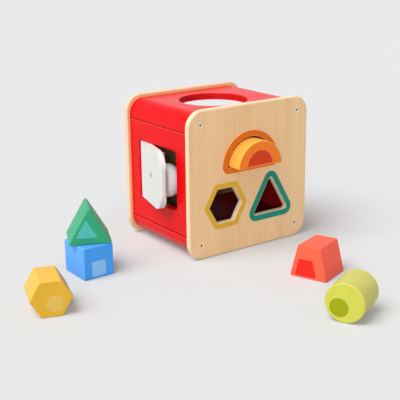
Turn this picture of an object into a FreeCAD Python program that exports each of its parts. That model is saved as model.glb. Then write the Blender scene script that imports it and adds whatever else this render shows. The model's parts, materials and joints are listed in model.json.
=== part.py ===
import FreeCAD, Part
import math
import os

os.makedirs("parts", exist_ok=True)
V = FreeCAD.Vector

# ---------------------------------------------------------------------------
# Shape sorter: a toy box with two natural wood panels, a painted body between
# them, a mirror let into the top, a small hinged door in the left side and six
# loose blocks.  Millimetres.  Z up, front face toward -Y, left side toward -X.
# The origin is on the floor, at the middle of the front panel's bottom edge.
# ---------------------------------------------------------------------------

# --- driving dimensions -----------------------------------------------------
PANEL_W = 150.0          # panel width and height
PANEL_T = 5.8            # panel thickness
BOX_D = 116.6            # front face to back face
PANEL_CORNER = 17.6      # panel corner radius
PANEL_EDGE = 2.35        # round-over along the outer edge of a panel
PANEL_EDGE_IN = 1.8      # round-over along the inner edge of a panel
HOLE_EDGE = 0.5          # round-over at the lips of the shape holes

INSET = 3.9              # how far the painted body sits in from the panel edge
BODY_CORNER = 16.0       # corner radius of the painted body
BOARD_H = 19.1           # thickness of the top board
BASE_H = 18.5            # thickness of the bottom board
SIDE_T = 7.5             # thickness of the side boards
SEAM = 0.6               # small chamfer at each side of a seam

SCREW_INSET = 14.6       # panel screws, in from both edges
SCREW_HEAD_D = 5.6
SCREW_SHANK_D = 2.8
SCREW_LEN = 26.0

# shape holes in the front panel (x, z measured from the box middle and floor)
HALF_R, HALF_LIFT = 29.3, 1.4     # arc radius, flat edge above the arc's centre
HALF_X, HALF_Z = 1.1, 88.4
HEX_R = 20.0
HEX_X, HEX_Z = -30.4, 51.0
TRI_S = 45.2
TRI_X, TRI_Z = 26.8, 33.2
TRI_CORNER = 2.2

# shape holes in the back panel
SQ_S = 34.8
SQ_X, SQ_Z = -46.4, 66.0
CIR_R = 19.3
CIR_X, CIR_Z = 27.0, 47.0
TRA_B, TRA_T, TRA_H = 42.4, 26.2, 34.6
TRA_X, TRA_Z = 27.0, 84.0

# mirror in the top board
MIR_X, MIR_Y = -4.5, -3.0
MIR_HOLE_R = 35.1
MIR_R = 34.75
MIR_T = 2.5
MIR_DEEP = 3.6           # mirror face below the top of the board

# door opening in the left side board
OPEN_Y0, OPEN_Y1 = -31.8, 35.7
OPEN_Z0, OPEN_Z1 = 45.4, 106.2
OPEN_R_FREE = 4.0
OPEN_R_HINGE = 1.0
STOP_W = 3.0             # lip that stops the closed door
STOP_T = 1.2

# door
DOOR_T = 5.8
DOOR_GAP = 0.6
DOOR_R_FREE = 18.0       # rounding of the free corners
DOOR_R_HINGE = 5.0
DOOR_SET = 0.3           # outer face of the closed door below the board face
DOOR_AJAR = 15.0         # the door stands ajar by this angle
PIN_D = 2.4
PIN_BORE = 2.5
KNOB_R = 17.3
KNOB_L = 24.0
KNOB_DROP = 6.4          # knob axis below the middle of the door and its screw

# blocks
BLOCK_L = 37.0
BLOCK_EDGE = 1.2

# the shapes are drawn about the middle of the box, then all moved by this much
# so that the middle of the front panel's flat bottom edge is at y = 0
MOVE_Y = BOX_D / 2.0 - 3.2

HALF = PANEL_W / 2.0
Y_FRONT = -BOX_D / 2.0
Y_BACK = BOX_D / 2.0
Y_IN0 = Y_FRONT + PANEL_T
Y_IN1 = Y_BACK - PANEL_T
X_BODY = HALF - INSET
Z_TOP = PANEL_W - INSET
Z_BOT = INSET
Z_SEAM_TOP = Z_TOP - BOARD_H
Z_SEAM_BOT = Z_BOT + BASE_H


# --- helpers ----------------------------------------------------------------
def save(shape, name):
    shape.translate(V(0, MOVE_Y, 0))
    shape.exportStep(os.path.join("parts", name + ".step"))


def rounded_polygon(points, radii):
    """Closed wire in the XY plane through 2-D points, each corner rounded."""
    n = len(points)
    starts, ends, mids = [], [], []
    for i in range(n):
        p = points[i]
        a = points[(i - 1) % n]
        b = points[(i + 1) % n]
        r = radii[i] if isinstance(radii, (list, tuple)) else radii
        da = (a[0] - p[0], a[1] - p[1])
        db = (b[0] - p[0], b[1] - p[1])
        la = math.hypot(*da)
        lb = math.hypot(*db)
        da = (da[0] / la, da[1] / la)
        db = (db[0] / lb, db[1] / lb)
        cosang = da[0] * db[0] + da[1] * db[1]
        ang = math.acos(max(-1.0, min(1.0, cosang)))
        cut = r / math.tan(ang / 2.0)
        s = (p[0] + da[0] * cut, p[1] + da[1] * cut)
        e = (p[0] + db[0] * cut, p[1] + db[1] * cut)
        bis = (da[0] + db[0], da[1] + db[1])
        lbis = math.hypot(*bis)
        bis = (bis[0] / lbis, bis[1] / lbis)
        reach = r / math.sin(ang / 2.0)
        m = (p[0] + bis[0] * (reach - r), p[1] + bis[1] * (reach - r))
        starts.append(s)
        ends.append(e)
        mids.append(m)
    edges = []
    for i in range(n):
        s, m, e = starts[i], mids[i], ends[i]
        edges.append(Part.Arc(V(s[0], s[1], 0), V(m[0], m[1], 0), V(e[0], e[1], 0)).toShape())
        nxt = starts[(i + 1) % n]
        if math.hypot(nxt[0] - e[0], nxt[1] - e[1]) > 1e-6:
            edges.append(Part.makeLine(V(e[0], e[1], 0), V(nxt[0], nxt[1], 0)))
    return Part.Wire(edges)


def half_round_wire(radius, corner, lift):
    """Half disc, flat edge on y=0, arc centre at y=-lift, bottom corners rounded."""
    # centre of the corner arc: `corner` above the flat, tangent inside the big arc
    cx = math.sqrt((radius - corner) ** 2 - (corner + lift) ** 2)
    ang = math.atan2(corner + lift, cx)
    big = (radius * math.cos(ang), radius * math.sin(ang) - lift)
    d = -math.pi / 4.0 + ang / 2.0
    mid = (cx + corner * math.cos(d), corner + corner * math.sin(d))
    e = [
        Part.makeLine(V(-cx, 0, 0), V(cx, 0, 0)),
        Part.Arc(V(cx, 0, 0), V(mid[0], mid[1], 0), V(big[0], big[1], 0)).toShape(),
        Part.Arc(V(big[0], big[1], 0), V(0, radius - lift, 0), V(-big[0], big[1], 0)).toShape(),
        Part.Arc(V(-big[0], big[1], 0), V(-mid[0], mid[1], 0), V(-cx, 0, 0)).toShape(),
    ]
    return Part.Wire(e)


def prism_y(wire, x, y0, length, z):
    """Extrude a wire drawn in XY so that it stands in XZ and runs along +Y."""
    face = Part.Face(wire)
    face.rotate(V(0, 0, 0), V(1, 0, 0), 90)     # (x, y, 0) -> (x, 0, y)
    solid = face.extrude(V(0, length, 0))
    solid.translate(V(x, y0, z))
    return solid


def rect_points(x0, x1, y0, y1):
    return [(x0, y0), (x1, y0), (x1, y1), (x0, y1)]


def hexagon_points(radius):
    return [(radius * math.cos(math.radians(60 * k)), radius * math.sin(math.radians(60 * k))) for k in range(6)]


def triangle_points(side):
    return [(-side / 2.0, 0), (side / 2.0, 0), (0, side * math.sqrt(3) / 2.0)]


def trapezoid_points(base, top, height):
    return [(-base / 2.0, 0), (base / 2.0, 0), (top / 2.0, height), (-top / 2.0, height)]


def edges_at_y(shape, y, keep):
    out = []
    for e in shape.Edges:
        b = e.BoundBox
        if abs(b.YMin - y) < 1e-4 and abs(b.YMax - y) < 1e-4 and keep(b):
            out.append(e)
    return out


def round_ends(shape, ys, radius, keep=lambda b: True):
    """Round every edge lying in the planes y = ys."""
    sel = []
    for y in ys:
        sel += edges_at_y(shape, y, keep)
    return shape.makeFillet(radius, sel)


def screw(length, head_d, shank_d, cross):
    """Countersunk cross-head screw along -Z, head face at z = 0."""
    hr, sr = head_d / 2.0, shank_d / 2.0
    cone = hr - sr
    tip = 3.0
    pts = [V(0, 0, 0), V(hr, 0, 0), V(hr, 0, -0.35), V(sr, 0, -0.35 - cone),
           V(sr, 0, -length + tip), V(0.25, 0, -length), V(0, 0, -length), V(0, 0, 0)]
    body = Part.Face(Part.makePolygon(pts)).revolve(V(0, 0, 0), V(0, 0, 1), 360)
    arm, wide, deep = cross
    a = Part.makeBox(arm, wide, deep + 1.0, V(-arm / 2.0, -wide / 2.0, -deep))
    b = Part.makeBox(wide, arm, deep + 1.0, V(-wide / 2.0, -arm / 2.0, -deep))
    return body.cut(a.fuse(b))


def countersink(head_d, shank_d, through, recess):
    """Cutter for the screw above: z = 0 is the outer face of the wood."""
    hr, sr = head_d / 2.0, shank_d / 2.0
    cone = hr - sr
    pts = [V(0, 0, 1), V(hr, 0, 1), V(hr, 0, -recess - 0.35), V(sr, 0, -recess - 0.35 - cone),
           V(sr, 0, -through), V(0, 0, -through), V(0, 0, 1)]
    return Part.Face(Part.makePolygon(pts)).revolve(V(0, 0, 0), V(0, 0, 1), 360)


# --- front and back panels ---------------------------------------------------
SCREW_XZ = [(sx * (HALF - SCREW_INSET), z) for sx in (-1, 1) for z in (SCREW_INSET, PANEL_W - SCREW_INSET)]
HEAD_RECESS = 0.25


def blank_panel(y0):
    wire = rounded_polygon(rect_points(-HALF, HALF, 0, PANEL_W), PANEL_CORNER)
    return prism_y(wire, 0, y0, PANEL_T, 0)


# the panel outline is rounded over before the holes are cut
outside = blank_panel(Y_FRONT)
outside = round_ends(outside, [Y_FRONT], PANEL_EDGE)
front_panel = round_ends(outside, [Y_IN0], PANEL_EDGE_IN)

cut_half = prism_y(half_round_wire(HALF_R, 1.6, HALF_LIFT), HALF_X, Y_FRONT - 1, PANEL_T + 2, HALF_Z)
cut_hex = prism_y(rounded_polygon(hexagon_points(HEX_R), 1.2), HEX_X, Y_FRONT - 1, PANEL_T + 2, HEX_Z)
cut_tri = prism_y(rounded_polygon(triangle_points(TRI_S), TRI_CORNER), TRI_X, Y_FRONT - 1, PANEL_T + 2, TRI_Z)
for cutter in (cut_half, cut_hex, cut_tri):
    front_panel = front_panel.cut(cutter)


def hole_lips(shape, ys, boxes):
    """Round the lips of the holes; boxes are (x0, x1, z0, z1) round each hole."""
    def keep(b):
        for x0, x1, z0, z1 in boxes:
            if b.XMin > x0 and b.XMax < x1 and b.ZMin > z0 and b.ZMax < z1:
                return True
        return False
    return round_ends(shape, ys, HOLE_EDGE, keep)


front_panel = hole_lips(front_panel, [Y_FRONT, Y_IN0], [
    (HALF_X - 31, HALF_X + 31, HALF_Z - 1, HALF_Z + 31),
    (HEX_X - 22, HEX_X + 22, HEX_Z - 20, HEX_Z + 20),
    (TRI_X - 24, TRI_X + 24, TRI_Z - 1, TRI_Z + 40)])

back_panel = blank_panel(Y_IN1)
back_panel = round_ends(back_panel, [Y_BACK], PANEL_EDGE)
back_panel = round_ends(back_panel, [Y_IN1], PANEL_EDGE_IN)
cut_sq = prism_y(rounded_polygon(rect_points(-SQ_S / 2, SQ_S / 2, -SQ_S / 2, SQ_S / 2), 1.2),
                 SQ_X, Y_IN1 - 1, PANEL_T + 2, SQ_Z)
cut_cir = Part.makeCylinder(CIR_R, PANEL_T + 2, V(CIR_X, Y_IN1 - 1, CIR_Z), V(0, 1, 0))
cut_tra = prism_y(rounded_polygon(trapezoid_points(TRA_B, TRA_T, TRA_H), 1.2),
                  TRA_X, Y_IN1 - 1, PANEL_T + 2, TRA_Z)
for cutter in (cut_sq, cut_cir, cut_tra):
    back_panel = back_panel.cut(cutter)
back_panel = hole_lips(back_panel, [Y_BACK, Y_IN1], [
    (SQ_X - 19, SQ_X + 19, SQ_Z - 19, SQ_Z + 19),
    (CIR_X - 21, CIR_X + 21, CIR_Z - 21, CIR_Z + 21),
    (TRA_X - 22, TRA_X + 22, TRA_Z - 1, TRA_Z + 36)])

# screws through both panels into the ends of the top and bottom boards
front_screws, back_screws = [], []
for (sx, sz) in SCREW_XZ:
    s = screw(SCREW_LEN, SCREW_HEAD_D, SCREW_SHANK_D, (3.0, 0.8, 1.3))
    s.rotate(V(0, 0, 0), V(0, 0, 1), 12 + 23 * (len(front_screws)))
    s.rotate(V(0, 0, 0), V(1, 0, 0), 90)            # head toward -Y
    s.translate(V(sx, Y_FRONT + HEAD_RECESS, sz))
    front_screws.append(s)
    c = countersink(SCREW_HEAD_D, SCREW_SHANK_D, PANEL_T + 1, HEAD_RECESS)
    c.rotate(V(0, 0, 0), V(1, 0, 0), 90)
    c.translate(V(sx, Y_FRONT, sz))
    front_panel = front_panel.cut(c)

    s = screw(SCREW_LEN, SCREW_HEAD_D, SCREW_SHANK_D, (3.0, 0.8, 1.3))
    s.rotate(V(0, 0, 0), V(0, 0, 1), 40 + 17 * (len(back_screws)))
    s.rotate(V(0, 0, 0), V(1, 0, 0), -90)           # head toward +Y
    s.translate(V(sx, Y_BACK - HEAD_RECESS, sz))
    back_screws.append(s)
    c = countersink(SCREW_HEAD_D, SCREW_SHANK_D, PANEL_T + 1, HEAD_RECESS)
    c.rotate(V(0, 0, 0), V(1, 0, 0), -90)
    c.translate(V(sx, Y_BACK, sz))
    back_panel = back_panel.cut(c)

# --- painted body ------------------------------------------------------------
BODY_L = Y_IN1 - Y_IN0


def end_board(z0, z1, round_top):
    """Thick board across the box; its two long outer corners are rounded."""
    if round_top:
        pts = [(-X_BODY, z0), (X_BODY, z0), (X_BODY, z1), (-X_BODY, z1)]
        radii = [SEAM, SEAM, BODY_CORNER, BODY_CORNER]
    else:
        pts = [(-X_BODY, z0), (X_BODY, z0), (X_BODY, z1), (-X_BODY, z1)]
        radii = [BODY_CORNER, BODY_CORNER, SEAM, SEAM]
    return prism_y(rounded_polygon(pts, radii), 0, Y_IN0, BODY_L, 0)


top_board = end_board(Z_SEAM_TOP, Z_TOP, True)
bottom_board = end_board(Z_BOT, Z_SEAM_BOT, False)

# round recess for the mirror
recess = Part.makeCylinder(MIR_HOLE_R, 20, V(MIR_X, MIR_Y, Z_TOP - MIR_DEEP - MIR_T), V(0, 0, 1))
top_board = top_board.cut(recess)
lip = [e for e in top_board.Edges if isinstance(e.Curve, Part.Circle)
       and abs(e.Curve.Radius - MIR_HOLE_R) < 1e-3 and abs(e.BoundBox.ZMin - Z_TOP) < 1e-3
       and abs(e.BoundBox.ZMax - Z_TOP) < 1e-3]
top_board = top_board.makeFillet(0.8, lip)

mirror_disc = Part.makeCylinder(MIR_R, MIR_T, V(MIR_X, MIR_Y, Z_TOP - MIR_DEEP - MIR_T), V(0, 0, 1))
rim = [e for e in mirror_disc.Edges if isinstance(e.Curve, Part.Circle)
       and abs(e.BoundBox.ZMax - (Z_TOP - MIR_DEEP)) < 1e-3 and abs(e.BoundBox.ZMin - (Z_TOP - MIR_DEEP)) < 1e-3]
mirror_disc = mirror_disc.makeChamfer(0.35, rim)

# holes for the screw shanks in the board ends
for (sx, sz) in SCREW_XZ:
    a = Part.makeCylinder(SCREW_SHANK_D / 2.0, SCREW_LEN - PANEL_T + 1.0, V(sx, Y_IN0 - 0.5, sz), V(0, 1, 0))
    b = Part.makeCylinder(SCREW_SHANK_D / 2.0, SCREW_LEN - PANEL_T + 1.0, V(sx, Y_IN1 + 0.5, sz), V(0, -1, 0))
    if sz > PANEL_W / 2.0:
        top_board = top_board.cut(a).cut(b)
    else:
        bottom_board = bottom_board.cut(a).cut(b)


def side_board(x_outer, x_inner):
    """Flat board between top and bottom boards with small seam chamfers outside."""
    s = 1 if x_outer > 0 else -1
    c = SEAM
    pts = [V(x_inner, Y_IN0, Z_SEAM_BOT), V(x_outer - s * c, Y_IN0, Z_SEAM_BOT),
           V(x_outer, Y_IN0, Z_SEAM_BOT + c), V(x_outer, Y_IN0, Z_SEAM_TOP - c),
           V(x_outer - s * c, Y_IN0, Z_SEAM_TOP), V(x_inner, Y_IN0, Z_SEAM_TOP),
           V(x_inner, Y_IN0, Z_SEAM_BOT)]
    return Part.Face(Part.makePolygon(pts)).extrude(V(0, BODY_L, 0))


right_side_board = side_board(X_BODY, X_BODY - SIDE_T)
left_side_board = side_board(-X_BODY, -X_BODY + SIDE_T)

# door opening: routed through, leaving a thin lip inside the free edge
X_OUT = -X_BODY
X_INN = -X_BODY + SIDE_T


def opening_wire(y0, y1, z0, z1, r_free, r_hinge):
    # drawn in XY: x stands for Y, y for Z
    return rounded_polygon([(y0, z0), (y1, z0), (y1, z1), (y0, z1)], [r_free, r_hinge, r_hinge, r_free])


def prism_x(wire, x0, length):
    """Extrude a wire drawn with (Y, Z) coordinates along +X from x0."""
    face = Part.Face(wire)
    m = FreeCAD.Matrix(0, 0, 1, 0,
                       1, 0, 0, 0,
                       0, 1, 0, 0,
                       0, 0, 0, 1)
    face = face.transformGeometry(m)
    solid = face.extrude(V(length, 0, 0))
    solid.translate(V(x0, 0, 0))
    return solid


cut_outer = prism_x(opening_wire(OPEN_Y0, OPEN_Y1, OPEN_Z0, OPEN_Z1, OPEN_R_FREE, OPEN_R_HINGE),
                    X_OUT - 1, SIDE_T - STOP_T + 1)
cut_inner = prism_x(opening_wire(OPEN_Y0 + STOP_W, OPEN_Y1, OPEN_Z0, OPEN_Z1, OPEN_R_FREE, OPEN_R_HINGE),
                    X_INN - STOP_T - 0.5, STOP_T + 1.5)
left_side_board = left_side_board.cut(cut_outer).cut(cut_inner)
face_edges = [e for e in left_side_board.Edges
              if abs(e.BoundBox.XMin - X_OUT) < 1e-4 and abs(e.BoundBox.XMax - X_OUT) < 1e-4
              and e.BoundBox.ZMin > OPEN_Z0 - 0.5 and e.BoundBox.ZMax < OPEN_Z1 + 0.5
              and e.BoundBox.YMin > OPEN_Y0 - 0.5 and e.BoundBox.YMax < OPEN_Y1 + 0.5]
left_side_board = left_side_board.makeFillet(0.6, face_edges)

# --- door --------------------------------------------------------------------
R_EDGE = DOOR_T / 2.0
AXIS_X = X_OUT + DOOR_SET + R_EDGE
AXIS_Y = OPEN_Y1 - 0.7 - R_EDGE
DOOR_Y0 = OPEN_Y0 + DOOR_GAP
DOOR_Z0 = OPEN_Z0 + DOOR_GAP
DOOR_Z1 = OPEN_Z1 - DOOR_GAP

# plan section of the closed door: full round at the hinge, eased free edge
x0, x1 = AXIS_X - R_EDGE, AXIS_X + R_EDGE
ease = 1.4
k = ease * (1 - math.sqrt(0.5))
plan = Part.Wire([
    Part.makeLine(V(x1, DOOR_Y0 + ease, 0), V(x1, AXIS_Y, 0)),
    Part.Arc(V(x1, AXIS_Y, 0), V(AXIS_X, AXIS_Y + R_EDGE, 0), V(x0, AXIS_Y, 0)).toShape(),
    Part.makeLine(V(x0, AXIS_Y, 0), V(x0, DOOR_Y0 + ease, 0)),
    Part.Arc(V(x0, DOOR_Y0 + ease, 0), V(x0 + k, DOOR_Y0 + k, 0), V(x0 + ease, DOOR_Y0, 0)).toShape(),
    Part.makeLine(V(x0 + ease, DOOR_Y0, 0), V(x1 - ease, DOOR_Y0, 0)),
    Part.Arc(V(x1 - ease, DOOR_Y0, 0), V(x1 - k, DOOR_Y0 + k, 0), V(x1, DOOR_Y0 + ease, 0)).toShape(),
])
slab = Part.Face(plan).extrude(V(0, 0, DOOR_Z1 - DOOR_Z0))
slab.translate(V(0, 0, DOOR_Z0))
outline = prism_x(opening_wire(DOOR_Y0 - 0.001, AXIS_Y + R_EDGE + 1.0, DOOR_Z0, DOOR_Z1, DOOR_R_FREE, DOOR_R_HINGE), x0 - 1, DOOR_T + 2)
door_panel = slab.common(outline)

# bores for the hinge pins
PIN_IN = 8.0
for (za, zb) in ((DOOR_Z0 - 1, DOOR_Z0 + PIN_IN + 0.4), (DOOR_Z1 - PIN_IN - 0.4, DOOR_Z1 + 1)):
    door_panel = door_panel.cut(Part.makeCylinder(PIN_BORE / 2.0, zb - za, V(AXIS_X, AXIS_Y, za)))

# the pins are pushed in through the ends of the side board
PIN_END = 1.5
lower_hinge_pin = Part.makeCylinder(PIN_D / 2.0, DOOR_Z0 + PIN_IN - (Z_SEAM_BOT + PIN_END),
                                    V(AXIS_X, AXIS_Y, Z_SEAM_BOT + PIN_END))
upper_hinge_pin = Part.makeCylinder(PIN_D / 2.0, (Z_SEAM_TOP - PIN_END) - (DOOR_Z1 - PIN_IN),
                                    V(AXIS_X, AXIS_Y, DOOR_Z1 - PIN_IN))
lower_hinge_pin = lower_hinge_pin.makeChamfer(0.3, [e for e in lower_hinge_pin.Edges if isinstance(e.Curve, Part.Circle)])
upper_hinge_pin = upper_hinge_pin.makeChamfer(0.3, [e for e in upper_hinge_pin.Edges if isinstance(e.Curve, Part.Circle)])
left_side_board = left_side_board.cut(
    Part.makeCylinder(PIN_D / 2.0, OPEN_Z0 + 1 - Z_SEAM_BOT + 1, V(AXIS_X, AXIS_Y, Z_SEAM_BOT - 1)))
left_side_board = left_side_board.cut(
    Part.makeCylinder(PIN_D / 2.0, Z_SEAM_TOP + 1 - OPEN_Z1 + 1, V(AXIS_X, AXIS_Y, OPEN_Z1 - 1)))

# turned knob on the inner face
KNOB_Y = (DOOR_Y0 + AXIS_Y + R_EDGE) / 2.0
SCREW_Z = (DOOR_Z0 + DOOR_Z1) / 2.0
KNOB_Z = SCREW_Z - KNOB_DROP
B = Part.BSplineCurve()
B.interpolate([V(11.0, 0, 0), V(10.8, 0, 1.6), V(12.8, 0, 4.4), V(16.3, 0, 8.2), V(KNOB_R, 0, 12.6),
               V(16.0, 0, 17.6), V(12.0, 0, 21.8), V(6.0, 0, KNOB_L)])
profile = Part.Wire([
    Part.makeLine(V(0, 0, 0), V(11.0, 0, 0)),
    B.toShape(),
    Part.makeLine(V(6.0, 0, KNOB_L), V(0, 0, KNOB_L)),
    Part.makeLine(V(0, 0, KNOB_L), V(0, 0, 0)),
])
door_knob = Part.Face(profile).revolve(V(0, 0, 0), V(0, 0, 1), 360)
KS_D, KS_HEAD, KS_LEN = 3.2, 7.4, 19.0
door_knob.rotate(V(0, 0, 0), V(0, 1, 0), 90)        # axis now along +X
door_knob.translate(V(x1, KNOB_Y, KNOB_Z))
door_knob = door_knob.cut(Part.makeCylinder(KS_D / 2.0, KS_LEN - DOOR_T + 0.5 + 1, V(x1 - 1, KNOB_Y, SCREW_Z), V(1, 0, 0)))

KS_RECESS = 0.4
door_knob_screw = screw(KS_LEN, KS_HEAD, KS_D, (4.0, 1.0, 1.7))
door_knob_screw.rotate(V(0, 0, 0), V(0, 0, 1), 30)
door_knob_screw.rotate(V(0, 0, 0), V(0, 1, 0), -90)  # head toward -X
door_knob_screw.translate(V(x0 + KS_RECESS, KNOB_Y, SCREW_Z))
c = countersink(KS_HEAD, KS_D, DOOR_T + 1, KS_RECESS)
c.rotate(V(0, 0, 0), V(0, 1, 0), -90)
c.translate(V(x0, KNOB_Y, SCREW_Z))
door_panel = door_panel.cut(c)

for s in (door_panel, door_knob, door_knob_screw):
    s.rotate(V(AXIS_X, AXIS_Y, 0), V(0, 0, 1), -DOOR_AJAR)

# --- blocks ------------------------------------------------------------------
# each block is drawn standing on z = 0 with its front face in y = 0, running to +Y


def block(wire, lift=0.0):
    b = prism_y(wire, 0, 0, BLOCK_L, lift)
    return b.makeFillet(BLOCK_EDGE, edges_at_y(b, 0.0, lambda q: True) + edges_at_y(b, BLOCK_L, lambda q: True))


def put(b, x, y, z, yaw):
    b.rotate(V(0, 0, 0), V(0, 0, 1), yaw)
    b.translate(V(x, y, z))
    return b


HB_R, HB_LIFT = 27.5, 1.6
half_round_block = block(half_round_wire(HB_R, 2.0, HB_LIFT))
HB_OUT = 15.4                                         # how far it stands out of the panel
half_round_block = put(half_round_block, 1.1, Y_FRONT - HB_OUT, HALF_Z + 0.3, 0)

HX_R = 18.9
HX_H = HX_R * math.sqrt(3) / 2.0
hexagon_block = block(rounded_polygon(hexagon_points(HX_R), 2.0), HX_H)
TB_S = 42.6
triangle_block = block(rounded_polygon(triangle_points(TB_S), 1.8))
SB_S = 31.8
square_block = block(rounded_polygon(rect_points(-SB_S / 2, SB_S / 2, 0, SB_S), 1.7))
trapezoid_block = block(rounded_polygon(trapezoid_points(39.0, 23.0, 31.6), 1.8))
CB_R = 17.7
cyl = Part.makeCylinder(CB_R, BLOCK_L, V(0, 0, CB_R), V(0, 1, 0))
cylinder_block = cyl.makeFillet(BLOCK_EDGE, edges_at_y(cyl, 0.0, lambda q: True) + edges_at_y(cyl, BLOCK_L, lambda q: True))

# positions on the floor: x, y of the middle of the front face, then yaw in degrees
POSE = {
    "square": (-164.28, -37.95, 0.0, 1.1),
    "triangle": (-168.65, -31.35, SB_S, -23.3),
    "hexagon": (-240.8, -92.3, 0.0, -17.6),
    "trapezoid": (-11.2, -159.0, 0.0, -69.8),
    "cylinder": (-52.9, -249.2, 0.0, -63.8),
}
square_block = put(square_block, *POSE["square"])
triangle_block = put(triangle_block, *POSE["triangle"])
hexagon_block = put(hexagon_block, *POSE["hexagon"])
trapezoid_block = put(trapezoid_block, *POSE["trapezoid"])
cylinder_block = put(cylinder_block, *POSE["cylinder"])

# --- export ------------------------------------------------------------------
save(front_panel, "front_panel")
save(back_panel, "back_panel")
save(top_board, "top_board")
save(bottom_board, "bottom_board")
save(left_side_board, "left_side_board")
save(right_side_board, "right_side_board")
save(mirror_disc, "mirror_disc")
save(Part.makeCompound(front_screws), "front_panel_screws")
save(Part.makeCompound(back_screws), "back_panel_screws")
save(door_panel, "door_panel")
save(door_knob, "door_knob")
save(door_knob_screw, "door_knob_screw")
save(upper_hinge_pin, "upper_hinge_pin")
save(lower_hinge_pin, "lower_hinge_pin")
save(half_round_block, "half_round_block")
save(hexagon_block, "hexagon_block")
save(triangle_block, "triangle_block")
save(square_block, "square_block")
save(trapezoid_block, "trapezoid_block")
save(cylinder_block, "cylinder_block")
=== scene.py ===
import json
import math

import bmesh
import bpy
from mathutils import Matrix, Vector

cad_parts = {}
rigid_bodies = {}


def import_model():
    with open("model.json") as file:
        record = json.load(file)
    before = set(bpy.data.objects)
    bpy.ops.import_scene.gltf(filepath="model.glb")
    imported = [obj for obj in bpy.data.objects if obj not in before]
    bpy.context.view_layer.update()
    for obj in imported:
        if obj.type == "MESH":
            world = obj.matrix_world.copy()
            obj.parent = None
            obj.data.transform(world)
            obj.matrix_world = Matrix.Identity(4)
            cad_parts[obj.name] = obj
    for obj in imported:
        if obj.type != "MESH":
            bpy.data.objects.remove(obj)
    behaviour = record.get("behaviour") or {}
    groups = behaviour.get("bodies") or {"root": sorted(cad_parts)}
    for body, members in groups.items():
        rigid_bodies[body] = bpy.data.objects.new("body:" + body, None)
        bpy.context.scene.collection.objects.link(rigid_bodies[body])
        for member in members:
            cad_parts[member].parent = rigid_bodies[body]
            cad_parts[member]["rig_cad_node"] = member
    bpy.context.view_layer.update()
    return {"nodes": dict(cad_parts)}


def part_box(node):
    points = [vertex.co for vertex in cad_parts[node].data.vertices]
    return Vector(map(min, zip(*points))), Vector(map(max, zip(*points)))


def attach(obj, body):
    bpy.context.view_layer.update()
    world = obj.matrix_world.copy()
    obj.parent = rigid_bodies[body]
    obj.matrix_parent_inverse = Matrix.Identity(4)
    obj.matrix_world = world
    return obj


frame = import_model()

MM = 0.001
NODES = frame["nodes"]

# a factory scene's own cube, lamp and camera, if there are any
for o in list(bpy.data.objects):
    if o.name in ("Cube", "Light", "Camera") and "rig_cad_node" not in o:
        bpy.data.objects.remove(o)


def lin(r, g, b):
    """sRGB 0..255 to linear."""
    out = []
    for v in (r, g, b):
        v = v / 255.0
        out.append(v / 12.92 if v <= 0.04045 else ((v + 0.055) / 1.055) ** 2.4)
    return tuple(out) + (1.0,)


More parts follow.
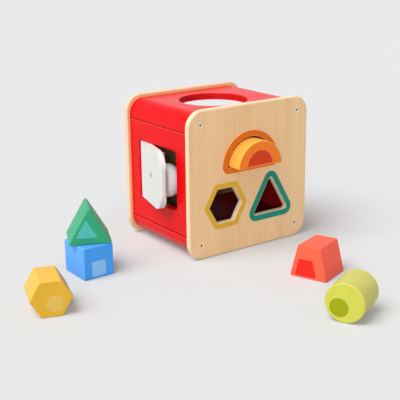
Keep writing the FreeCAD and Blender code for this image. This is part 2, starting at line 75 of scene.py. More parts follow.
# ---------------------------------------------------------------------------
# node helpers
# ---------------------------------------------------------------------------
class Net:
    def __init__(self, name):
        self.mat = bpy.data.materials.new(name)
        self.mat.use_nodes = True
        self.t = self.mat.node_tree
        self.t.nodes.clear()
        self.out = self.t.nodes.new("ShaderNodeOutputMaterial")
        self.bsdf = self.t.nodes.new("ShaderNodeBsdfPrincipled")
        self.t.links.new(self.bsdf.outputs["BSDF"], self.out.inputs["Surface"])
        self.n = 0

    def node(self, kind, **props):
        nd = self.t.nodes.new(kind)
        self.n += 1
        nd.location = (-220 * (self.n % 9) - 300, -160 * (self.n // 9))
        for k, v in props.items():
            setattr(nd, k, v)
        return nd

    def link(self, a, b):
        self.t.links.new(a, b)

    def put(self, socket, value):
        if hasattr(value, "is_output") or isinstance(value, bpy.types.NodeSocket):
            self.link(value, socket)
        else:
            socket.default_value = value

    def coords(self, scale, location=(0, 0, 0), rotation=(0, 0, 0)):
        """Object coordinates in millimetres, scaled."""
        tc = self.node("ShaderNodeTexCoord")
        mp = self.node("ShaderNodeMapping")
        mp.inputs["Location"].default_value = location
        mp.inputs["Rotation"].default_value = rotation
        mp.inputs["Scale"].default_value = [s * 1000.0 for s in scale]
        self.link(tc.outputs["Object"], mp.inputs["Vector"])
        return mp.outputs["Vector"]

    def noise(self, vector, scale=1.0, detail=2.0, rough=0.5, distortion=0.0):
        nd = self.node("ShaderNodeTexNoise")
        nd.inputs["Scale"].default_value = scale
        nd.inputs["Detail"].default_value = detail
        nd.inputs["Roughness"].default_value = rough
        nd.inputs["Distortion"].default_value = distortion
        self.link(vector, nd.inputs["Vector"])
        return nd.outputs["Fac"]

    def ramp(self, fac, stops, interpolation="LINEAR"):
        nd = self.node("ShaderNodeValToRGB")
        cr = nd.color_ramp
        cr.interpolation = interpolation
        while len(cr.elements) > 1:
            cr.elements.remove(cr.elements[-1])
        cr.elements[0].position = stops[0][0]
        cr.elements[0].color = stops[0][1]
        for p, c in stops[1:]:
            e = cr.elements.new(p)
            e.color = c
        self.link(fac, nd.inputs["Fac"])
        return nd.outputs["Color"]

    def band(self, fac, lo, hi, to_lo=0.0, to_hi=1.0):
        nd = self.node("ShaderNodeMapRange")
        nd.inputs["From Min"].default_value = lo
        nd.inputs["From Max"].default_value = hi
        nd.inputs["To Min"].default_value = to_lo
        nd.inputs["To Max"].default_value = to_hi
        nd.clamp = True
        self.link(fac, nd.inputs["Value"])
        return nd.outputs["Result"]

    def math(self, op, a, b=None):
        nd = self.node("ShaderNodeMath", operation=op)
        self.put(nd.inputs[0], a)
        if b is not None:
            self.put(nd.inputs[1], b)
        return nd.outputs[0]

    def mix(self, fac, a, b, blend="MIX"):
        nd = self.node("ShaderNodeMix", data_type="RGBA", blend_type=blend)
        self.put(nd.inputs["Factor"], fac)
        self.put(nd.inputs["A"], a)
        self.put(nd.inputs["B"], b)
        for s in nd.inputs:
            pass
        return nd.outputs["Result"]

    def rgba_mix(self, fac, a, b, blend="MIX"):
        nd = self.node("ShaderNodeMix", data_type="RGBA", blend_type=blend)
        col = [s for s in nd.inputs if s.type == "RGBA"]
        fc = [s for s in nd.inputs if s.type == "VALUE"]
        self.put(fc[0], fac)
        self.put(col[0], a)
        self.put(col[1], b)
        return [s for s in nd.outputs if s.type == "RGBA"][0]

    def bump(self, height, strength, distance, normal=None):
        nd = self.node("ShaderNodeBump")
        nd.inputs["Strength"].default_value = strength
        nd.inputs["Distance"].default_value = distance
        self.link(height, nd.inputs["Height"])
        if normal is not None:
            self.link(normal, nd.inputs["Normal"])
        return nd.outputs["Normal"]

    def edge(self, radius=0.0007, lo=0.02, hi=0.30):
        """1 along convex and concave edges, 0 on the flats."""
        bv = self.node("ShaderNodeBevel", samples=6)
        bv.inputs["Radius"].default_value = radius
        geo = self.node("ShaderNodeNewGeometry")
        dot = self.node("ShaderNodeVectorMath", operation="DOT_PRODUCT")
        self.link(bv.outputs["Normal"], dot.inputs[0])
        self.link(geo.outputs["Normal"], dot.inputs[1])
        inv = self.math("SUBTRACT", 1.0, dot.outputs["Value"])
        return self.band(inv, lo, hi)

    def inside(self, lo, hi, soft=0.6):
        """1 within a box given in millimetres, 0 outside it."""
        tc = self.node("ShaderNodeTexCoord")
        sep = self.node("ShaderNodeSeparateXYZ")
        self.link(tc.outputs["Object"], sep.inputs[0])
        m = None
        for i in range(3):
            for sign, edge in ((1.0, lo[i]), (-1.0, hi[i])):
                d = self.math("MULTIPLY", sep.outputs[i], 1000.0 * sign)
                v = self.band(d, sign * edge - soft, sign * edge + soft)
                m = v if m is None else self.math("MULTIPLY", m, v)
        return m

    def ends(self, lo=0.80, hi=0.97, yaw=0.0):
        """1 on faces that look along the piece's own length, 0 on faces that look across it."""
        tc = self.node("ShaderNodeTexCoord")
        dot = self.node("ShaderNodeVectorMath", operation="DOT_PRODUCT")
        self.link(tc.outputs["Normal"], dot.inputs[0])
        a = math.radians(yaw)
        dot.inputs[1].default_value = (math.sin(a), -math.cos(a), 0.0)
        return self.band(self.math("ABSOLUTE", dot.outputs["Value"]), lo, hi)

    def set(self, **kw):
        for k, v in kw.items():
            self.bsdf.inputs[k.replace("_", " ")].default_value = v


# ---------------------------------------------------------------------------
# materials
# ---------------------------------------------------------------------------
INNER_LO = (-63.9, 2.3, 22.1)
INNER_HI = (63.9, 107.9, 127.3)
SEAMS = (127.0, 22.4)


def wood(name, light, mid, dark, along="Z", rough=0.46, seed=0.0, pale=1.0, wall_tint=None):
    """Pale lacquered wood, fine straight grain running along one axis."""
    m = Net(name)
    long_ = {"X": 0, "Y": 1, "Z": 2}[along]

    def sc(across, lengthwise):
        v = [across] * 3
        v[long_] = lengthwise
        return v

    # slow drift of the boards' tone, bands 8 to 20 mm wide
    wide = m.noise(m.coords(sc(0.055, 0.0045), (seed, seed * 0.7, seed * 0.3)), 1.0, 2.0, 0.55, 0.3)
    # growth lines 1 to 3 mm apart, long and nearly straight
    lines = m.noise(m.coords(sc(0.42, 0.006), (seed * 1.7, seed, 2.0)), 1.0, 4.0, 0.62, 0.15)
    # hair-fine fibres
    fibre = m.noise(m.coords(sc(2.6, 0.045), (3.1, seed, 0.0)), 1.0, 3.0, 0.6)
    # short dark flecks, 0.3 by 3 mm
    fleck = m.noise(m.coords(sc(1.5, 0.16), (9.0, 4.0, seed)), 1.0, 1.5, 0.5)

    tone = m.math("ADD", m.math("MULTIPLY", wide, 0.50), m.math("MULTIPLY", lines, 0.50))
    base = m.ramp(tone, [(0.34, dark), (0.50, mid), (0.66, light)])
    f = m.band(fibre, 0.35, 0.70, 0.0, 1.0)
    base = m.rgba_mix(m.math("MULTIPLY", f, 0.22), base, (dark[0] * 0.93, dark[1] * 0.90, dark[2] * 0.84, 1.0))
    k = m.band(fleck, 0.66, 0.76, 0.0, 1.0)
    base = m.rgba_mix(m.math("MULTIPLY", k, 0.28), base, (dark[0] * 0.72, dark[1] * 0.62, dark[2] * 0.50, 1.0))
    # rims and hole walls are sanded end grain, paler than the faces, and lightened further as a painted highlight
    rim = m.ramp(tone, [(0.34, (light[0] * 0.90, light[1] * 1.04 * pale, light[2] * 1.28 * pale, 1.0)),
                        (0.66, (light[0] * 0.97, light[1] * 1.16 * pale, light[2] * 1.50 * pale, 1.0))])
    flank = m.math("SUBTRACT", 1.0, m.ends(0.55, 0.92))
    base = m.rgba_mix(m.math("MULTIPLY", flank, 0.9), base, rim)
    # one hole's wall is tinted a dark orange
    wall_tint_mask = m.math("MULTIPLY", m.math("MULTIPLY", m.inside(wall_tint[0], wall_tint[1], 0.15), flank), 0.92) if wall_tint is not None else None
    # handled edges are a touch paler where the sanding cut through the lacquer, with a painted highlight along
    # them as well
    e = m.edge(0.0010, 0.01, 0.22)
    base = m.rgba_mix(m.math("MULTIPLY", e, 0.65), base, (min(1, light[0] * 1.04), min(1, light[1] * 1.16), min(1, light[2] * 1.50), 1.0))
    if wall_tint_mask is not None:
        base = m.rgba_mix(wall_tint_mask, base, wall_tint[2])
    # the inner faces are bare wood, darkened here as painted shade inside the box
    base = m.rgba_mix(m.inside(INNER_LO, INNER_HI), base, (mid[0] * 0.22, mid[1] * 0.17, mid[2] * 0.15, 1.0))
    m.link(base, m.bsdf.inputs["Base Color"])
    r = m.math("ADD", m.band(lines, 0.3, 0.7, rough - 0.05, rough + 0.06), m.math("MULTIPLY", f, 0.05))
    m.link(r, m.bsdf.inputs["Roughness"])
    h = m.math("ADD", m.math("MULTIPLY", fibre, 0.7), m.math("MULTIPLY", m.math("SUBTRACT", 1.0, k), 0.5))
    m.link(m.bump(h, 0.22, 0.00012), m.bsdf.inputs["Normal"])
    m.set(Specular_IOR_Level=0.22, Coat_Weight=0.0)
    return m.mat


def paint(name, col, rough=0.34, along="Y", coat=0.0, coat_rough=0.15, worn=None, worn_amount=0.35,
          spec=0.18, vary=0.05, grain=0.5, seed=0.0, edge_r=0.0006, side_painted_light=None, interior_shade=None, yaw=0.0):
    """Paint on wood: faint telegraphed grain, orange peel, patchy gloss, rubbed edges; optional painted light on
    the side faces and painted shade inside the box.
    """
    m = Net(name)
    long_ = {"X": 0, "Y": 1, "Z": 2}[along]
    g = [0.9, 0.9, 0.9]
    g[long_] = 0.03
    grain_n = m.noise(m.coords(g, (seed, 2 * seed, 0)), 1.0, 3.0, 0.6)
    peel = m.noise(m.coords((1.3, 1.3, 1.3), (seed, 0, seed)), 1.0, 2.0, 0.5)
    patch = m.noise(m.coords((0.045, 0.045, 0.045), (seed, seed, 0)), 1.0, 3.0, 0.6)
    dark = tuple(c * (1.0 - vary) for c in col[:3]) + (1.0,)
    light = tuple(min(1.0, c * (1.0 + vary * 0.6)) for c in col[:3]) + (1.0,)
    t = m.math("ADD", m.math("MULTIPLY", patch, 0.6), m.math("MULTIPLY", grain_n, 0.4))
    base = m.ramp(t, [(0.35, dark), (0.65, light)])
    # painted light: the side faces get their own lighter or darker colour, standing in for how the light falls on
    # them
    if side_painted_light is not None:
        s_dark = tuple(c * (1.0 - vary) for c in side_painted_light[:3]) + (1.0,)
        s_light = tuple(min(1.0, c * (1.0 + vary * 0.6)) for c in side_painted_light[:3]) + (1.0,)
        base = m.rgba_mix(m.ends(yaw=yaw), m.ramp(t, [(0.35, s_dark), (0.65, s_light)]), base)
    interior_shade_mask = None
    if interior_shade is not None:
        # painted shade: inside the box the paint takes a darker colour, for the little light that reaches there
        interior_shade_mask = m.inside(INNER_LO, INNER_HI)
        base = m.rgba_mix(interior_shade_mask, base, interior_shade)
        # dark joint lines between the boards, partly dirt in the joints and partly painted shade, each with a
        # painted highlight band just below
        tc = m.node("ShaderNodeTexCoord")
        sep = m.node("ShaderNodeSeparateXYZ")
        m.link(tc.outputs["Object"], sep.inputs[0])
        for z in SEAMS:
            d = m.math("ABSOLUTE", m.math("SUBTRACT", m.math("MULTIPLY", sep.outputs[2], 1000.0), z))
            lit = m.math("ABSOLUTE", m.math("SUBTRACT", m.math("MULTIPLY", sep.outputs[2], 1000.0), z - 1.15))
            # painted highlight: a lighter red band just below each joint
            base = m.rgba_mix(m.band(lit, 0.25, 0.85, 0.30, 0.0), base, (0.95, 0.10, 0.07, 1.0))
            base = m.rgba_mix(m.band(d, 0.30, 0.80, 0.70, 0.0), base, (interior_shade[0] * 0.7, interior_shade[1] * 0.5, interior_shade[2] * 0.5, 1.0))
        # the turned wall of the round recess, darkened as painted shade
        well = m.inside((-41.5, 15.0, 138.0), (32.5, 89.0, 145.55), 0.15)
        base = m.rgba_mix(m.math("MULTIPLY", well, 0.85), base, (0.42, 0.0008, 0.0015, 1.0))
    e = m.edge(edge_r, 0.015, 0.25)
    scuff = m.noise(m.coords((0.35, 0.35, 0.35), (7 + seed, 0, 0)), 1.0, 4.0, 0.65)
    e2 = m.math("MULTIPLY", e, m.band(scuff, 0.40, 0.62, 0.25, 1.0))
    if worn is None:
        worn = tuple(min(1.0, 0.75 * c + 0.25) for c in col[:3]) + (1.0,)
    base = m.rgba_mix(m.math("MULTIPLY", e2, worn_amount), base, worn)
    m.link(base, m.bsdf.inputs["Base Color"])
    r = m.math("ADD", m.band(patch, 0.3, 0.7, rough - 0.05, rough + 0.06), m.math("MULTIPLY", e2, 0.10))
    if interior_shade_mask is not None:
        r = m.math("ADD", r, m.math("MULTIPLY", interior_shade_mask, 0.6))
        r = m.math("ADD", r, m.math("MULTIPLY", well, 0.35))
    m.link(r, m.bsdf.inputs["Roughness"])
    n1 = m.bump(grain_n, 0.10 * grain, 0.00010)
    n2 = m.bump(peel, 0.06, 0.00012, n1)
    m.link(n2, m.bsdf.inputs["Normal"])
    m.set(Specular_IOR_Level=spec, Coat_Weight=coat, Coat_Roughness=coat_rough)
    return m.mat


def steel(name, col, rough, recess=None):
    """Plated steel with fine turning marks; recess = (axis, low, high) in mm that is coloured near black as
    painted shade.
    """
    m = Net(name)
    fine = m.noise(m.coords((6, 6, 6)), 1.0, 3.0, 0.6)
    blot = m.noise(m.coords((0.8, 0.8, 0.8), (3, 1, 2)), 1.0, 3.0, 0.6)
    dark = tuple(c * 0.75 for c in col[:3]) + (1.0,)
    base = m.ramp(blot, [(0.35, dark), (0.65, col)])
    if recess is not None:
        geo = m.node("ShaderNodeTexCoord")
        sep = m.node("ShaderNodeSeparateXYZ")
        m.link(geo.outputs["Object"], sep.inputs[0])
        axis, low, high = recess
        a = m.math("GREATER_THAN", sep.outputs[axis], low * MM)
        b = m.math("LESS_THAN", sep.outputs[axis], high * MM)
        mask = m.math("MULTIPLY", a, b)
        # painted shade: the screw recess is coloured near black
        base = m.rgba_mix(mask, base, (0.010, 0.009, 0.008, 1.0))
        m.link(m.math("ADD", m.band(fine, 0.3, 0.7, rough - 0.06, rough + 0.08), m.math("MULTIPLY", mask, 0.35)),
               m.bsdf.inputs["Roughness"])
    else:
        m.link(m.band(fine, 0.3, 0.7, rough - 0.06, rough + 0.08), m.bsdf.inputs["Roughness"])
    m.link(base, m.bsdf.inputs["Base Color"])
    m.link(m.bump(fine, 0.15, 0.00004), m.bsdf.inputs["Normal"])
    m.set(Metallic=1.0)
    return m.mat


def mirror(name):
    m = Net(name)
    smear = m.noise(m.coords((0.05, 0.16, 0.1), (1, 5, 0)), 1.0, 4.0, 0.6, 0.6)
    dust = m.noise(m.coords((1.6, 1.6, 1.6), (4, 0, 0)), 1.0, 2.0, 0.5)
    base = m.ramp(smear, [(0.35, (0.86, 0.87, 0.885, 1)), (0.65, (0.93, 0.935, 0.94, 1))])
    m.link(base, m.bsdf.inputs["Base Color"])
    r = m.math("ADD", m.band(smear, 0.40, 0.72, 0.015, 0.075), m.math("MULTIPLY", m.band(dust, 0.64, 0.75), 0.08))
    m.link(r, m.bsdf.inputs["Roughness"])
    m.link(m.bump(smear, 0.02, 0.00008), m.bsdf.inputs["Normal"])
    m.set(Metallic=1.0)
    return m.mat


C = {
    "wood_light": (0.7601, 0.5337, 0.2977, 1.0),
    "wood_mid": (0.7247, 0.4877, 0.2615, 1.0),
    "wood_dark": (0.6768, 0.4283, 0.2105, 1.0),
    "red": (0.66, 0.0018, 0.0040, 1.0),
    # painted shade: the darker red of the box's inside
    "red_interior_shade": (0.13, 0.001, 0.002, 1.0),
    "white": (0.62, 0.64, 0.61, 1.0),
    # painted light: the knob's white is far above the door's, to make the knob in the shaded opening read as lit
    "knob_white_painted_light": (0.96, 0.96, 0.955, 1.0),
    "ring_orange": (0.6217, 0.1379, 0.0010, 1.0),
    "ring_yellow": (0.5939, 0.3511, 0.0252, 1.0),
    "ring_green": (0.0058, 0.2156, 0.1465, 1.0),
    "orange": (0.7694, 0.1758, 0.0112, 1.0),
    # painted light: the side colours below are each block's paint as lit on its side faces
    "orange_side": (0.8879, 0.3621, 0.0515, 1.0),
    "orange_print": (0.5771, 0.0358, 0.0028, 1.0),
    "yellow": (0.6344, 0.3695, 0.0274, 1.0),
    "yellow_side": (0.69, 0.405, 0.048, 1.0),
    "yellow_print": (0.6438, 0.4218, 0.0884, 1.0),
    "green": (0.0247, 0.3083, 0.1503, 1.0),
    "green_print": (0.0698, 0.4179, 0.3695, 1.0),
    "blue": (0.0518, 0.3056, 0.7984, 1.0),
    "blue_side": (0.088, 0.318, 0.800, 1.0),
    "blue_print": (0.2181, 0.4640, 0.7923, 1.0),
    "coral": (0.8604, 0.1063, 0.0493, 1.0),
    "coral_side": (0.8604, 0.0960, 0.0470, 1.0),
    "coral_print": (0.8918, 0.0137, 0.0087, 1.0),
    "lime": (0.4807, 0.4825, 0.0621, 1.0),
    "lime_side": (0.500, 0.480, 0.105, 1.0),
    "lime_print": (0.2640, 0.2967, 0.0007, 1.0),
}

M = {
    "front_wood": wood("lacquered_wood_front", C["wood_light"], C["wood_mid"], C["wood_dark"], "Z", 0.46, 0.0,
                       wall_tint=((-31.0, -3.80, 86.5), (33.0, 2.8, 120.0), (0.40, 0.115, 0.012, 1.0))),
    "back_wood": wood("lacquered_wood_back", C["wood_light"], C["wood_mid"], C["wood_dark"], "Z", 0.46, 5.0, 0.86),
    "red": paint("red_gloss_paint", C["red"], 0.28, "Y", vary=0.05, grain=0.7, spec=0.12, interior_shade=C["red_interior_shade"],
                 worn=lin(246, 60, 50), worn_amount=0.3),
    "white": paint("white_satin_paint", C["white"], 0.38, "Z", vary=0.025, grain=0.6, worn=(0.70, 0.68, 0.64, 1.0), worn_amount=0.3),
    # painted light: the knob gets a brighter copy of the white paint
    "knob_white_painted_light": paint("white_knob_paint_painted_light", C["knob_white_painted_light"], 0.34, "X", vary=0.02, grain=0.3, worn=(0.90, 0.88, 0.84, 1.0), worn_amount=0.2, seed=8.0),
    "steel_front": steel("screw_steel_front", (1.00, 0.87, 0.66, 1), 0.55, (1, -2.80, 4.0)),
    "steel_back": steel("screw_steel_back", (1.00, 0.87, 0.66, 1), 0.55, (1, 105.0, 113.0)),
    "steel": steel("pin_steel", (0.56, 0.56, 0.56, 1), 0.30),
    "steel_door": steel("screw_steel_door", (0.80, 0.80, 0.79, 1), 0.40),
    "mirror": mirror("mirror_acrylic"),
    "ring_orange": paint("orange_ring_print", C["ring_orange"], 0.44, "Z", vary=0.05, seed=1.0),
    "ring_yellow": paint("yellow_ring_print", C["ring_yellow"], 0.44, "Z", vary=0.05, seed=2.0),
    "ring_green": paint("green_ring_print", C["ring_green"], 0.44, "Z", vary=0.05, seed=3.0),
    "ring_blue": paint("blue_ring_print", C["blue"], 0.44, "Z", vary=0.05, seed=4.0),
    "ring_lime": paint("lime_ring_print", C["lime_print"], 0.44, "Z", vary=0.05, seed=5.0),
    "ring_coral": paint("coral_ring_print", C["coral"], 0.44, "Z", vary=0.05, seed=6.0),
}
# how far each block is turned about the vertical
YAWS = {"orange": 0.0, "yellow": -17.6, "green": -23.3, "blue": 1.1, "coral": -69.8, "lime": -63.8}
# each block gets its end colour, a painted light colour for its side faces, and its print
for i, k in enumerate(("orange", "yellow", "green", "blue", "coral", "lime")):
    M[k] = paint(k + "_block_paint", C[k], 0.40, "Y", vary=0.05, seed=11.0 + i, edge_r=0.0010,
                 side_painted_light=C.get(k + "_side"), yaw=YAWS[k])
    M[k + "_print"] = paint(k + "_block_print", C[k + "_print"], 0.46, "Z", vary=0.04, seed=21.0 + i)

ASSIGN = {
    "front_panel": "front_wood", "back_panel": "back_wood", "top_board": "red", "bottom_board": "red",
    "left_side_board": "red", "right_side_board": "red", "mirror_disc": "mirror",
    "front_panel_screws": "steel_front", "back_panel_screws": "steel_back",
    "upper_hinge_pin": "steel", "lower_hinge_pin": "steel",
    "door_panel": "white", "door_knob": "knob_white_painted_light", "door_knob_screw": "steel_door",
    "half_round_block": "orange", "hexagon_block": "yellow", "triangle_block": "green",
    "square_block": "blue", "trapezoid_block": "coral", "cylinder_block": "lime",
}
for node, key in ASSIGN.items():
    me = NODES[node].data
    if len(me.materials) == 0:
        me.materials.append(M[key])
    for i in range(len(me.materials)):
        me.materials[i] = M[key]


# ---------------------------------------------------------------------------
# outlines: chains of arcs, so that an outline can be offset exactly
# ---------------------------------------------------------------------------
def polygon_arcs(points, r):
    """Rounded convex polygon, counter-clockwise, as [(cx, cy, radius, a0, a1)]."""
    n = len(points)
    arcs = []
    for i in range(n):
        p, a, b = Vector(points[i]), Vector(points[i - 1]), Vector(points[(i + 1) % n])
        d0 = (p - a).normalized()
        d1 = (b - p).normalized()
        n0 = Vector((d0.y, -d0.x))       # outward normals of the two sides
        n1 = Vector((d1.y, -d1.x))
        bis = (n0 + n1).normalized()
        c = p - bis * (r / bis.dot(n0))
        a0 = math.atan2(n0.y, n0.x)
        a1 = math.atan2(n1.y, n1.x)
        while a1 < a0:
            a1 += 2 * math.pi
        arcs.append((c.x, c.y, r, a0, a1))
    return arcs


def half_round_arcs(radius, corner, lift):
    cx = math.sqrt((radius - corner) ** 2 - (corner + lift) ** 2)
    ang = math.atan2(corner + lift, cx)
    return [(cx, corner, corner, -math.pi / 2, ang),
            (0, -lift, radius, ang, math.pi - ang),
            (-cx, corner, corner, math.pi - ang, 1.5 * math.pi)]


def circle_arcs(radius):
    return [(0, 0, radius, 0.5 * math.pi * k, 0.5 * math.pi * (k + 1)) for k in range(4)]


def regular(radius, n, start=0.0):
    return [(radius * math.cos(start + 2 * math.pi * k / n), radius * math.sin(start + 2 * math.pi * k / n)) for k in range(n)]


def outline(arcs, offset=0.0, steps=14):
    pts = []
    for cx, cy, r, a0, a1 in arcs:
        rr = r + offset
        k = max(steps, int(abs(a1 - a0) / math.radians(4.0)))
        for i in range(k + 1):
            a = a0 + (a1 - a0) * i / k
            p = (cx + rr * math.cos(a), cy + rr * math.sin(a))
            pts.append(p)
    return pts


def finish_piece(name, bm, mat, body):
    bmesh.ops.remove_doubles(bm, verts=bm.verts, dist=1e-7)
    bmesh.ops.recalc_face_normals(bm, faces=bm.faces)
    me = bpy.data.meshes.new(name)
    bm.to_mesh(me)
    bm.free()
    me.materials.append(mat)
    ob = bpy.data.objects.new(name, me)
    bpy.context.scene.collection.objects.link(ob)
    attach(ob, body)
    return ob


def face_frame(x, y, z, yaw_deg, flip=False):
    """Origin, right, up and outward normal of a vertical face; lengths in mm."""
    a = math.radians(yaw_deg)
    u = Vector((math.cos(a), math.sin(a), 0))
    n = Vector((math.sin(a), -math.cos(a), 0))
    if flip:
        u, n = -u, -n
    return Vector((x, y, z)), u, Vector((0, 0, 1)), n


def place(fr, u, v, w):
    o, ux, vx, nx = fr
    return (o + ux * u + vx * v + nx * w) * MM


def ring_plate(name, arcs_in, off_in, arcs_out, off_out, fr, mat, body, proud=0.11, sunk=0.25, ease=0.07):
    """A closed printed ring: thin, slightly crowned at both edges, let into the surface."""
    layers = [(off_in, off_out, -sunk), (off_in, off_out, proud - ease), (off_in + ease, off_out - ease, proud)]
    bm = bmesh.new()
    rings = []
    for oi, oo, w in layers:
        a = [bm.verts.new(place(fr, u, v, w)) for u, v in outline(arcs_in, oi)]
        b = [bm.verts.new(place(fr, u, v, w)) for u, v in outline(arcs_out, oo)]
        rings.append((a, b))
    n = len(rings[0][0])
    assert n == len(rings[0][1])
    for i in range(n):
        j = (i + 1) % n
        a0, b0 = rings[0]
        a2, b2 = rings[-1]
        bm.faces.new((a0[i], b0[i], b0[j], a0[j]))
        bm.faces.new((a2[i], a2[j], b2[j], b2[i]))
        for k in range(len(rings) - 1):
            al, bl = rings[k]
            ah, bh = rings[k + 1]
            bm.faces.new((al[i], al[j], ah[j], ah[i]))
            bm.faces.new((bl[i], bh[i], bh[j], bl[j]))
    return finish_piece(name, bm, mat, body)


def print_plate(name, arcs, fr, mat, body, shift=(0, 0), proud=0.10, sunk=0.25, ease=0.06):
    """A closed printed patch, crowned at the edge, let into the surface."""
    bm = bmesh.new()
    loops = []
    for off, w in ((0.0, -sunk), (0.0, proud - ease), (-ease, proud)):
        loops.append([bm.verts.new(place(fr, u + shift[0], v + shift[1], w)) for u, v in outline(arcs, off)])
    n = len(loops[0])
    for k in range(2):
        for i in range(n):
            j = (i + 1) % n
            bm.faces.new((loops[k][i], loops[k][j], loops[k + 1][j], loops[k + 1][i]))
    bm.faces.new(loops[-1])
    bm.faces.new(list(reversed(loops[0])))
    return finish_piece(name, bm, mat, body)


# ---------------------------------------------------------------------------
# painted rings round the shape holes (millimetres in the row frame)
# ---------------------------------------------------------------------------
FRONT_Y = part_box("front_panel")[0].y / MM
BACK_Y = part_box("back_panel")[1].y / MM

LIP = 0.55
# front: half round, hexagon, triangle
ring_plate("half_round_ring", half_round_arcs(29.3, 1.6, 1.4), LIP,
           [(a[0], a[1], a[2], a[3], a[4]) for a in half_round_arcs(29.3, 1.6, 1.4)], 6.1,
           face_frame(1.1, FRONT_Y, 88.4, 0), M["ring_orange"], "box")
hexa = polygon_arcs(regular(20.0, 6), 1.2)
hexa_out = polygon_arcs(regular(20.0 + 5.7 / math.cos(math.pi / 6), 6), 4.5)
ring_plate("hexagon_ring", hexa, LIP, hexa_out, 0.0, face_frame(-30.4, FRONT_Y, 51.0, 0), M["ring_yellow"], "box")
TS = 45.2
tri = polygon_arcs([(-TS / 2, 0), (TS / 2, 0), (0, TS * math.sqrt(3) / 2)], 2.2)
ring_plate("triangle_ring", tri, LIP, tri, 6.6, face_frame(26.8, FRONT_Y, 33.2, 0), M["ring_green"], "box")
# back: square, circle, trapezoid
sq = polygon_arcs([(-17.4, -17.4), (17.4, -17.4), (17.4, 17.4), (-17.4, 17.4)], 1.2)
ring_plate("square_ring", sq, LIP, sq, 6.2, face_frame(-46.4, BACK_Y, 66.0, 0, True), M["ring_blue"], "box")
ring_plate("round_ring", circle_arcs(19.3), LIP, circle_arcs(19.3), 6.2, face_frame(27.0, BACK_Y, 47.0, 0, True), M["ring_lime"], "box")
tb, tt, th = 42.4, 26.2, 34.6
tra = polygon_arcs([(-tb / 2, 0), (tb / 2, 0), (tt / 2, th), (-tt / 2, th)], 1.2)
ring_plate("trapezoid_ring", tra, LIP, tra, 6.2, face_frame(27.0, BACK_Y, 84.0, 0, True), M["ring_coral"], "box")

# ---------------------------------------------------------------------------
# printed shapes on the ends of the blocks
# ---------------------------------------------------------------------------
MOVE_Y = 55.1
BLOCK_L = 37.0
SB_S = 31.8
POSE = {
    "square": (-164.28, -37.95, 0.0, 1.1),
    "triangle": (-168.65, -31.35, SB_S, -23.3),
    "hexagon": (-240.8, -92.3, 0.0, -17.6),
    "trapezoid": (-11.2, -159.0, 0.0, -69.8),
    "cylinder": (-52.9, -249.2, 0.0, -63.8),
    "half_round": (1.1, -58.3 - 15.4, 88.4 + 0.3, 0.0),
}
s5, s7 = 14.6, 20.6
PRINT = {
    "square": (polygon_arcs([(-s5 / 2, 0), (s5 / 2, 0), (s5 / 2, s5), (-s5 / 2, s5)], 0.6), (-0.2, 2.4), "blue", "square_block"),
    "triangle": (polygon_arcs([(-s7 / 2, 0), (s7 / 2, 0), (0, s7 * math.sqrt(3) / 2)], 0.7), (-3.6, 6.9), "green", "triangle_block"),
    "hexagon": (polygon_arcs(regular(8.3, 6), 0.6), (3.5, 12.0), "yellow", "hexagon_block"),
    "trapezoid": (polygon_arcs([(-11.2, 0), (11.2, 0), (7.0, 16.6), (-7.0, 16.6)], 0.6), (-2.7, 2.0), "coral", "trapezoid_block"),
    "cylinder": (circle_arcs(8.4), (-4.8, 13.2), "lime", "cylinder_block"),
    "half_round": (half_round_arcs(15.5, 0.9, 0.9), (-0.4, 1.9), "orange", "half_round_block"),
}
for shape, (arcs, shift, colour, node) in PRINT.items():
    x, y, z, yaw = POSE[shape]
    body = shape
    fr = face_frame(x, y + MOVE_Y, z, yaw)
    print_plate(shape + "_print_front", arcs, fr, M[colour + "_print"], body, shift)
    a = math.radians(yaw)
    bx, by = x - BLOCK_L * math.sin(a), y + BLOCK_L * math.cos(a)
    fr = face_frame(bx, by + MOVE_Y, z, yaw, True)
    print_plate(shape + "_print_back", arcs, fr, M[colour + "_print"], body, shift)

# ---------------------------------------------------------------------------
# floor, light, camera
# ---------------------------------------------------------------------------
floor_me = bpy.data.meshes.new("floor")
s = 20.0
floor_me.from_pydata([(-s, -s, 0), (s, -s, 0), (s, s, 0), (-s, s, 0)], [], [(0, 1, 2, 3)])
floor = bpy.data.objects.new("floor", floor_me)
floor.location.z = -0.00005
bpy.context.scene.collection.objects.link(floor)

fm = bpy.data.materials.new("studio_floor")
fm.use_nodes = True
ft = fm.node_tree
ft.nodes.clear()
fo = ft.nodes.new("ShaderNodeOutputMaterial")
add = ft.nodes.new("ShaderNodeAddShader")
dif = ft.nodes.new("ShaderNodeBsdfDiffuse")
emi = ft.nodes.new("ShaderNodeEmission")
dif.inputs["Color"].default_value = (0.47, 0.47, 0.47, 1)
emi.inputs["Color"].default_value = (1, 1, 1, 1)
emi.inputs["Strength"].default_value = 0.125
ft.links.new(dif.outputs[0], add.inputs[0])
ft.links.new(emi.outputs[0], add.inputs[1])
ft.links.new(add.outputs[0], fo.inputs["Surface"])
floor_me.materials.append(fm)

world = bpy.data.worlds.new("studio")
bpy.context.scene.world = world
world.use_nodes = True
bg = world.node_tree.nodes["Background"]
bg.inputs["Strength"].default_value = 1.0
wt = world.node_tree
w_tc = wt.nodes.new("ShaderNodeTexCoord")
w_sep = wt.nodes.new("ShaderNodeSeparateXYZ")
w_ramp = wt.nodes.new("ShaderNodeValToRGB")
wt.links.new(w_tc.outputs["Generated"], w_sep.inputs[0])
wt.links.new(w_sep.outputs[2], w_ramp.inputs["Fac"])
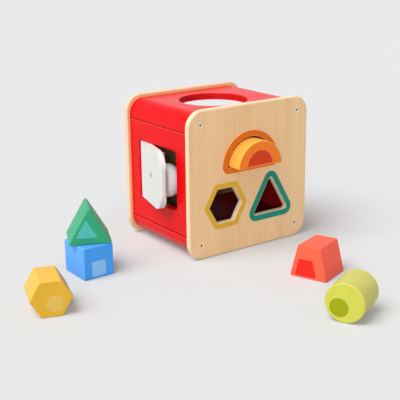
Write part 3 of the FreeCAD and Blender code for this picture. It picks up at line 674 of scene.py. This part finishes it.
# the far side of the studio is brighter than the near side
w_dot = wt.nodes.new("ShaderNodeVectorMath")
w_dot.operation = "DOT_PRODUCT"
w_dot.inputs[1].default_value = (0.58, 0.81, 0.0)
wt.links.new(w_tc.outputs["Generated"], w_dot.inputs[0])
w_side = wt.nodes.new("ShaderNodeMapRange")
w_side.inputs["From Min"].default_value = -0.5
w_side.inputs["From Max"].default_value = 0.7
w_side.inputs["To Min"].default_value = 0.80
w_side.inputs["To Max"].default_value = 1.08
wt.links.new(w_dot.outputs["Value"], w_side.inputs["Value"])
wt.links.new(w_side.outputs["Result"], bg.inputs["Strength"])
wt.links.new(w_ramp.outputs["Color"], bg.inputs["Color"])
w_ramp.color_ramp.elements[0].position = 0.30
w_ramp.color_ramp.elements[0].color = (0.84, 0.83, 0.84, 1)
w_ramp.color_ramp.elements[1].position = 0.75
w_ramp.color_ramp.elements[1].color = (0.36, 0.36, 0.36, 1)


def sun(name, energy, azimuth, elevation, angle, colour=(1, 1, 1)):
    """A soft far light. Azimuth is measured from -Y towards -X."""
    data = bpy.data.lights.new(name, "SUN")
    data.energy = energy
    data.angle = math.radians(angle)
    data.color = colour
    ob = bpy.data.objects.new(name, data)
    a, e = math.radians(azimuth), math.radians(elevation)
    to_light = Vector((-math.sin(a) * math.cos(e), -math.cos(a) * math.cos(e), math.sin(e)))
    ob.rotation_mode = "QUATERNION"
    ob.rotation_quaternion = to_light.to_track_quat("Z", "Y")
    bpy.context.scene.collection.objects.link(ob)
    return ob


sun("key_left", 3.45, 88, 59, 44)
sun("front_fill", 1.02, 41, 15, 10)

cam_data = bpy.data.cameras.new("camera")
cam = bpy.data.objects.new("camera", cam_data)
bpy.context.scene.collection.objects.link(cam)
cam_data.sensor_width = 36.0
cam_data.lens = 900.265 / 400.0 * 36.0
yaw, pitch, roll = 0.6173, 0.2972, -0.0118
fwd = Vector((math.sin(yaw) * math.cos(pitch), math.cos(yaw) * math.cos(pitch), -math.sin(pitch)))
right = Vector((math.cos(yaw), -math.sin(yaw), 0))
up = right.cross(fwd)
r2 = right * math.cos(roll) + up * math.sin(roll)
u2 = up * math.cos(roll) - right * math.sin(roll)
rot = Matrix((r2, u2, -fwd)).transposed()
cam.matrix_world = Matrix.Translation(Vector(((-3.1265 - 0.5) * 0.15, -4.5279 * 0.15 + FRONT_Y * MM, 2.1154 * 0.15))) @ rot.to_4x4()
cam_data.clip_start = 0.01
cam_data.clip_end = 100.0
bpy.context.scene.camera = cam

bpy.context.scene.view_settings.view_transform = "Standard"
bpy.context.scene.view_settings.look = "None"
